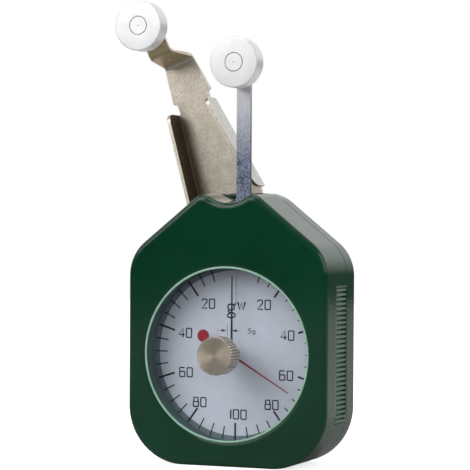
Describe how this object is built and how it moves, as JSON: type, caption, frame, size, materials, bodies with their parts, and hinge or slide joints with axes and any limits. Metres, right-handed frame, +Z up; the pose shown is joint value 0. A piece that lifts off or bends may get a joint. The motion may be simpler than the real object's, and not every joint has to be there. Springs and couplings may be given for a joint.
{
  "type": "dial tension gauge",
  "caption": "Hand-held dial tension gauge: green gable-shaped metal case, white dial with black and red pointers, reset knob, measuring arm and swinging guard, each with a metal roller.",
  "frame": {"origin": "centre of the flat bottom of the case, midway between its front and back faces", "axes": "+X right seen from the dial, +Y from the dial towards the back, +Z up"},
  "size_m": [0.067, 0.0366, 0.1326],
  "materials": {
    "housing_paint": "gloss enamel",
    "cover_paint": "gloss enamel",
    "lens": "clear",
    "dial": "satin white",
    "black_pointer": "matt black",
    "red_pointer": "satin red",
    "knob": "nickel plated, turned",
    "spindle": "turned",
    "movement_brass": "brushed",
    "movement_steel": "ground",
    "arm_steel": "blued grey steel",
    "spring_steel": "tempered",
    "roller": "fine turned",
    "pin_steel": "turned",
    "guard": "zinc plated, warm tint",
    "screws": "zinc plated",
    "friction_washer": "fibre"
  },
  "bodies": {
    "housing": {"front_housing": "housing_paint", "rear_cover": "cover_paint", "cover_screws": "screws", "lens": "lens", "lens_bush": "spindle", "spacer_ring": "black_pointer", "dial_plate": "dial", "front_plate": "movement_brass", "rear_plate": "movement_brass", "plate_pillars": "movement_brass", "plate_screws": "movement_steel", "movement_screws": "movement_steel", "stop_pins": "movement_steel", "spring_studs": "movement_brass", "hairspring": "spring_steel", "measuring_spring": "spring_steel", "pivot_screw": "screws", "pivot_washer": "friction_washer", "wave_washer": "spring_steel"},
    "arm": {"measuring_arm": "arm_steel", "sector_gear": "movement_brass", "arm_shaft": "movement_steel", "arm_roller_pin": "pin_steel"},
    "arm_roller": {"arm_roller": "roller"},
    "pointer": {"gauge_pointer": "black_pointer", "pinion_arbor": "movement_steel"},
    "peak": {"peak_pointer": "red_pointer", "reset_spindle": "spindle", "reset_knob": "knob"},
    "guard": {"guard_bracket": "guard", "guard_roller_pin": "pin_steel"},
    "guard_roller": {"guard_roller": "roller"}
  },
  "joints": [
    {"name": "arm_swing", "type": "hinge", "parent": "housing", "child": "arm", "pos_m": [0, 0, 0.0556], "axis": [0, 1, 0], "range_deg": [-12, 12], "stiffness_Nm_per_rad": 0.27},
    {"name": "pointer_turn", "type": "hinge", "parent": "housing", "child": "pointer", "pos_m": [0, 0, 0.0316], "axis": [0, 1, 0], "range_deg": [-180, 180]},
    {"name": "peak_turn", "type": "hinge", "parent": "housing", "child": "peak", "pos_m": [0, 0, 0.0316], "axis": [0, 1, 0], "range_deg": [-113, 231]},
    {"name": "guard_swing", "type": "hinge", "parent": "housing", "child": "guard", "pos_m": [0, 0, 0.0556], "axis": [0, 1, 0], "range_deg": [-8, 54]},
    {"name": "arm_roller_spin", "type": "hinge", "parent": "arm", "child": "arm_roller", "pos_m": [0, 0, 0.1141], "axis": [0, 1, 0], "continuous": true},
    {"name": "guard_roller_spin", "type": "hinge", "parent": "guard", "child": "guard_roller", "pos_m": [-0.02974, 0, 0.12532], "axis": [0, 1, 0], "continuous": true}
  ],
  "couplings": [
    {"joint": "pointer_turn", "follows": "arm_swing", "ratio": -15}
  ]
}
